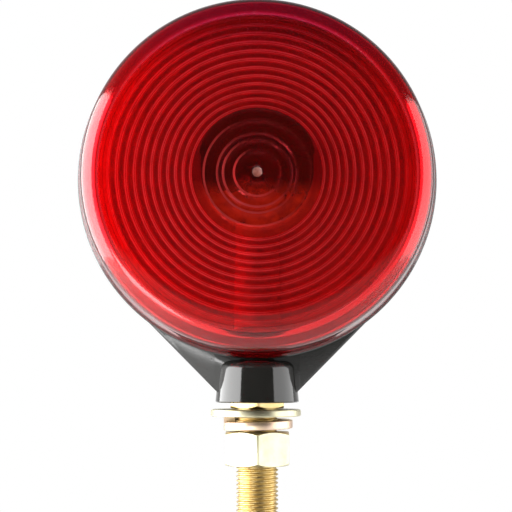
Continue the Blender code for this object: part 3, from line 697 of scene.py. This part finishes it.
def reflector():
    """Shallow white dish, open round the bulb and hooded over its socket."""
    front = [(REFLECTOR_R, 1.9), (REFLECTOR_R, 6.4), (REFLECTOR_R - 0.8, 7.3), (43.6, 10.9), (42.4, 11.4)]
    front += [(36.0, 12.1), (30.0, 12.6), (20.0, 12.9), (12.0, 13.0)]
    back = [(12.0, 11.9), (30.0, 11.5), (42.6, 10.1), (REFLECTOR_R - 1.2, 5.8), (REFLECTOR_R - 1.2, 1.9)]
    dish = finish_mesh("reflector_dish", upright(turned(front + back)), white_dish, "lamp_body",
                       ["reflector"])
    side = HOOD_R - HOOD_WALL / 2
    slot = prism([(-side, -20.0), (side, -20.0), (side, 0.0), (-side, 0.0)], HOOD_BOTTOM + 0.6, LAMP_Z)
    cut_or_join(dish, slot, "DIFFERENCE")
    cut_or_join(dish, hood(), "UNION")
    opening = turned([(0.0, 0.0), (HOLE_R, 0.0), (HOLE_R, 20.0), (0.0, 20.0)], 160)
    cut_or_join(dish, upright(moved(opening, y=HOLE_RISE)), "DIFFERENCE")
    return dish


# ---------------------------------------------------------------- bulb

def bulb_globe():
    """Hollow glass ball on a neck that reaches into the base."""
    neck = BULB_BASE_R - 1.1 - GAP
    low = BASE_BOTTOM + 7.4
    meet = math.degrees(math.asin(neck / GLOBE_R))
    outer = [(neck, low), (neck, BASE_TOP + 4.0)]
    outer += arc((0.0, FILAMENT_Z), GLOBE_R, -90 + meet + 8, 84, 30)
    outer += [(0.0, FILAMENT_Z + GLOBE_R)]
    inner = [(0.0, FILAMENT_Z + GLOBE_R - 0.7)]
    inner += arc((0.0, FILAMENT_Z), GLOBE_R - 0.7, 84, -90 + meet + 8, 30)
    inner += [(neck - 0.7, BASE_TOP + 4.0), (neck - 0.7, low)]
    return finish_mesh("bulb_globe", turned(outer + inner, 96), glass, "bulb", ["bulb_glass"], 50)


def bulb_cap():
    """Brass base with a rolled foot, a shallow waist and a crimped mouth."""
    inner = BULB_BASE_R - 1.1
    profile = [(BULB_BASE_R - 0.6, BASE_BOTTOM), (BULB_BASE_R - 0.2, BASE_BOTTOM + 0.2)]
    profile += [(BULB_BASE_R, BASE_BOTTOM + 0.6), (BULB_BASE_R, BASE_TOP - 4.0)]
    profile += [(BULB_BASE_R - 0.35, BASE_TOP - 3.4), (BULB_BASE_R - 0.35, BASE_TOP - 2.8)]
    profile += [(BULB_BASE_R, BASE_TOP - 2.2), (BULB_BASE_R, BASE_TOP - 0.6)]
    profile += [(BULB_BASE_R - 0.3, BASE_TOP - 0.1), (BULB_BASE_R - 0.6, BASE_TOP), (inner, BASE_TOP)]
    profile += [(inner, BASE_BOTTOM)]
    return finish_mesh("bulb_cap", turned(profile, 96), brass, "bulb", ["bulb_base"])


def stem():
    """Glass column inside the bulb that carries the wires."""
    low = BASE_BOTTOM + 2.4 + GAP
    profile = [(0.0, low), (4.2, low), (4.4, low + 0.4), (3.2, low + 4.5), (2.8, low + 8.0), (2.4, 52.0)]
    profile += [(1.9, 54.2), (1.3, 55.0), (0.0, 55.2)]
    return finish_mesh("glass_stem_column", turned(profile, 48), glass, "bulb", ["glass_stem"], 50)


# ---------------------------------------------------------------- stud hardware

def thread_radius(angle, height):
    """Radius of a 60 degree thread with flat crests and roots."""
    phase = (height / THREAD_PITCH - angle / (2 * math.pi)) % 1.0
    climb = abs(phase - 0.5) * 2.0
    tooth = min(1.0, max(0.0, (climb - 0.14) / 0.72))
    start_fade = min(1.0, (height - STUD_END) / 1.2)
    end_fade = min(1.0, max(0.0, (-COLLAR_PROUD - 1.4 - height) / 1.3))
    crest = THREAD_R - 1.0 * (1.0 - start_fade)
    root = THREAD_R - THREAD_DEPTH * end_fade
    return min(crest, root + (THREAD_R - root) * tooth)


def stud():
    """Hollow threaded stud and its chamfered hex collar."""
    profile = [(BORE_R, STUD_END + 0.3), (BORE_R + 0.3, STUD_END)]
    rows_per_turn = 12
    rows = int((-COLLAR_PROUD + 0.4 - STUD_END) / THREAD_PITCH * rows_per_turn)
    for row in range(rows + 1):
        height = STUD_END + row * THREAD_PITCH / rows_per_turn
        profile.append((lambda angle, z=height: thread_radius(angle, z), height))
    profile += [(THREAD_R, -1.0), (THREAD_R, STUD_TOP - 0.5), (THREAD_R - 0.5, STUD_TOP), (BORE_R, STUD_TOP)]
    shank = turned(profile, 96)
    corner = COLLAR_FLATS / math.sqrt(3)
    flat = COLLAR_FLATS / 2
    edge = hex_radius(COLLAR_FLATS, 0.12)
    collar_profile = [(THREAD_R - 0.4, -COLLAR_PROUD), (flat - 0.2, -COLLAR_PROUD)]
    steps = 8
    for i in range(steps + 1):
        share = i / steps
        limit = flat - 0.05 + (corner - flat + 0.1) * share
        height = -COLLAR_PROUD + (corner - flat) * math.tan(math.radians(34)) * share
        collar_profile.append((least(edge, limit), height))
    collar_profile += [(edge, COLLAR_DEEP), (THREAD_R - 0.4, COLLAR_DEEP)]
    whole = joined(shank, turned(collar_profile, 192))
    return finish_mesh("threaded_stud", whole, gold_zinc, "lamp_body", ["stud"], 38)


def plain_washer():
    """Flat washer, slightly off the stud's axis."""
    top = -COLLAR_PROUD - GAP
    low = top - WASHER_THICK
    bore = WASHER_BORE
    profile = [(bore, top - 0.2), (bore + 0.2, top), (WASHER_R - 0.55, top), (WASHER_R - 0.2, top - 0.12)]
    profile += [(WASHER_R, top - 0.5), (WASHER_R, low + 0.3), (WASHER_R - 0.25, low + 0.05)]
    profile += [(WASHER_R - 0.5, low), (bore + 0.2, low), (bore, low + 0.2)]
    mesh = moved(turned(profile), x=WASHER_SHIFT)
    return finish_mesh("plain_washer", mesh, pale_zinc, "washers", ["flat_washer"])


def spring_washer():
    """Split washer, one turn of a square helix with softened edges."""
    top = -COLLAR_PROUD - WASHER_THICK - 2 * GAP - LOCK_RISE
    inner = LOCK_BORE
    low = top - LOCK_THICK
    soft = 0.35
    section = [(inner, top - soft), (inner + soft, top), (LOCK_R - soft, top), (LOCK_R - 0.1, top - 0.1)]
    section += [(LOCK_R, top - soft), (LOCK_R, low + soft), (LOCK_R - 0.1, low + 0.1), (LOCK_R - soft, low)]
    section += [(inner + soft, low), (inner, low + soft)]
    steps = 180
    split = math.radians(7)
    sections = []
    for i in range(steps + 1):
        angle = math.pi + split / 2 + (2 * math.pi - split) * i / steps
        lift = LOCK_RISE * i / steps
        sections.append([(r * math.cos(angle), r * math.sin(angle), h + lift) for r, h in section])
    mesh = moved(swept(sections), x=LOCK_SHIFT)
    return finish_mesh("spring_washer", mesh, pink_zinc, "washers", ["lock_washer"])


def nut():
    """Hexagon nut, chamfered at both ends so that each flat ends in a lobe."""
    top = -COLLAR_PROUD - WASHER_THICK - LOCK_THICK - LOCK_RISE - 3 * GAP
    low = top - NUT_TALL
    corner = NUT_FLATS / math.sqrt(3)
    flat = NUT_FLATS / 2
    edge = hex_radius(NUT_FLATS, 0.10, 0.03)
    drop = (corner - flat) * math.tan(math.radians(31))
    steps = 10
    shares = [i / steps for i in range(steps + 1)]
    limits = [least(edge, flat - 0.15 + (corner - flat + 0.15) * share) for share in shares]
    profile = [(NUT_BORE, top - 0.9), (NUT_BORE + 0.8, top), (flat - 0.35, top)]
    profile += [(limit, top - drop * share) for limit, share in zip(limits, shares)]
    profile += [(limit, low + drop * share) for limit, share in zip(limits[::-1], shares[::-1])]
    profile += [(flat - 0.35, low), (NUT_BORE + 0.8, low), (NUT_BORE, low + 0.9)]
    return finish_mesh("hexagon_nut", turned(profile, 288), pale_zinc, "nut", ["hex_nut"], 22)


def coil_spring():
    """Spring under the contact plate, built at one length; the real spring flattens as the bulb is pressed
    in.
    """
    steps, sides = 120, 12
    span = SPRING_HIGH - SPRING_LOW
    sections = []
    for i in range(steps + 1):
        share = i / steps
        angle = 2 * math.pi * SPRING_TURNS * share
        height = SPRING_LOW + SPRING_WIRE + (span - 2 * SPRING_WIRE) * share
        section = []
        for k in range(sides):
            turn = 2 * math.pi * k / sides
            reach = SPRING_R + SPRING_WIRE * math.cos(turn)
            rise = SPRING_WIRE * math.sin(turn)
            section.append((reach * math.cos(angle), reach * math.sin(angle), height + rise))
        sections.append(section)
    item = finish_mesh("coil_spring", swept(sections), steel, "lamp_body", ["socket_spring"])
    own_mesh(item)
    return item


def grommet():
    """Rubber sleeve in the stud's lower end."""
    top = STUD_END + 5.0
    low = STUD_END - 1.2
    profile = [(2.9, low + 0.2), (3.1, low), (4.3, low), (4.7, low + 0.3), (4.9, STUD_END - GAP)]
    profile += [(BORE_R - GAP, STUD_END - GAP), (BORE_R - GAP, top), (2.9, top)]
    return finish_mesh("wire_grommet", turned(profile, 64), rubber, "lamp_body", ["stud_grommet"])


CAD_LOOKS = {
    "socket_shell": (steel, "plated_steel"),
    "socket_bracket": (steel, "plated_steel"),
    "bracket_screw_left": (steel, "plated_steel"),
    "bracket_screw_right": (steel, "plated_steel"),
    "socket_end_cap": (phenolic, "phenolic"),
    "contact_plate": (phenolic, "phenolic"),
    "contact_pad_left": (brass, "brass"),
    "contact_pad_right": (brass, "brass"),
    "bayonet_pin_low": (brass, "brass"),
    "bayonet_pin_high": (brass, "brass"),
    "base_insulator": (vitrite, "vitrite"),
    "base_contact_left": (solder, "solder"),
    "base_contact_right": (solder, "solder"),
    "wire_left": (steel, "plated_steel"),
    "wire_right": (steel, "plated_steel"),
    "wire_common": (steel, "plated_steel"),
    "wire_tail": (steel, "plated_steel"),
    "filament_bright": (tungsten, "tungsten"),
    "filament_tail": (tungsten, "tungsten"),
    "ground_strap": (brass, "brass"),
}


def dress_cad_nodes():
    """Give the CAD nodes that show as they are their materials."""
    for node, (look, slot) in CAD_LOOKS.items():
        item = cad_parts[node]
        item.data.materials.clear()
        item.data.materials.append(look)


# ---------------------------------------------------------------- studio

def floor():
    """Pale disc that glows a little more towards its edge, so that it meets the backdrop softly."""
    look = plain("pale_floor", (0.86, 0.86, 0.86), (0.90, 0.90, 0.90), 0.8, 0.9, scale=3.0)
    look.shader.inputs["Emission Color"].default_value = (1.0, 1.0, 1.0, 1.0)
    look.feed("Emission Strength", look.spread(look.vector("LENGTH", look.place), 0.10, 0.55, (0.15, 0.8)))
    mesh = bmesh.new()
    bmesh.ops.create_circle(mesh, cap_ends=True, segments=96, radius=FLOOR_R)
    data = bpy.data.meshes.new("pale_floor")
    mesh.to_mesh(data)
    mesh.free()
    data.materials.append(look.material)
    item = bpy.data.objects.new("pale_floor", data)
    item.location = (0.0, 0.0, FLOOR_Z)
    bpy.context.scene.collection.objects.link(item)


def softbox(name, place, size, power):
    """Area light that faces LIGHT_TARGET."""
    lamp = bpy.data.lights.new(name, "AREA")
    lamp.shape = "RECTANGLE"
    lamp.size, lamp.size_y = size
    lamp.energy = power
    item = bpy.data.objects.new(name, lamp)
    item.location = place
    away = Vector(place) - Vector(LIGHT_TARGET)
    item.rotation_euler = away.to_track_quat("Z", "Y").to_euler()
    bpy.context.scene.collection.objects.link(item)


def studio():
    """Soft light that grows towards the back and below, plain white backdrop, and three softboxes."""
    world = bpy.data.worlds.new("studio")
    world.use_nodes = True
    bpy.context.scene.world = world
    nodes, links = world.node_tree.nodes, world.node_tree.links
    surround = nodes["Background"]
    direction = nodes.new("ShaderNodeTexCoord").outputs["Generated"]
    facing = nodes.new("ShaderNodeVectorMath")
    facing.operation = "DOT_PRODUCT"
    facing.inputs[1].default_value = (-0.15, 0.85, -0.45)
    links.new(direction, facing.inputs[0])
    spread = nodes.new("ShaderNodeMapRange")
    spread.inputs["From Min"].default_value = -0.5
    spread.inputs["From Max"].default_value = 0.8
    spread.inputs["To Min"].default_value = 0.04
    spread.inputs["To Max"].default_value = 0.95
    links.new(facing.outputs["Value"], spread.inputs["Value"])
    split = nodes.new("ShaderNodeSeparateXYZ")
    links.new(direction, split.inputs[0])
    low = nodes.new("ShaderNodeMapRange")
    low.inputs["From Min"].default_value = 0.0
    low.inputs["From Max"].default_value = -0.04
    low.inputs["To Max"].default_value = 0.40
    links.new(split.outputs["Z"], low.inputs["Value"])
    shade = nodes.new("ShaderNodeMath")
    shade.operation = "MAXIMUM"
    links.new(spread.outputs["Result"], shade.inputs[0])
    links.new(low.outputs["Result"], shade.inputs[1])
    links.new(shade.outputs[0], surround.inputs["Color"])
    backdrop = nodes.new("ShaderNodeBackground")
    backdrop.inputs["Color"].default_value = (1.0, 1.0, 1.0, 1.0)
    chosen = nodes.new("ShaderNodeMixShader")
    links.new(nodes.new("ShaderNodeLightPath").outputs["Is Camera Ray"], chosen.inputs[0])
    links.new(surround.outputs[0], chosen.inputs[1])
    links.new(backdrop.outputs[0], chosen.inputs[2])
    links.new(chosen.outputs[0], nodes["World Output"].inputs[0])
    for name, (place, size, power) in SOFTBOXES.items():
        softbox(name, place, size, power)
    bpy.context.scene.view_settings.view_transform = "Standard"


def camera():
    """Camera at the photograph's viewing angle."""
    data = bpy.data.cameras.new("camera")
    data.lens = CAMERA_LENS
    data.sensor_width = 36.0
    data.clip_start = 0.01
    item = bpy.data.objects.new("camera", data)
    item.location = CAMERA_PLACE
    item.rotation_euler = (math.radians(90 + CAMERA_TILT), 0.0, 0.0)
    bpy.context.scene.collection.objects.link(item)
    bpy.context.scene.camera = item


housing()
lens()
gasket()
reflector()
bulb_globe()
bulb_cap()
stem()
stud()
plain_washer()
spring_washer()
nut()
grommet()
coil_spring()
dress_cad_nodes()
floor()
studio()
camera()
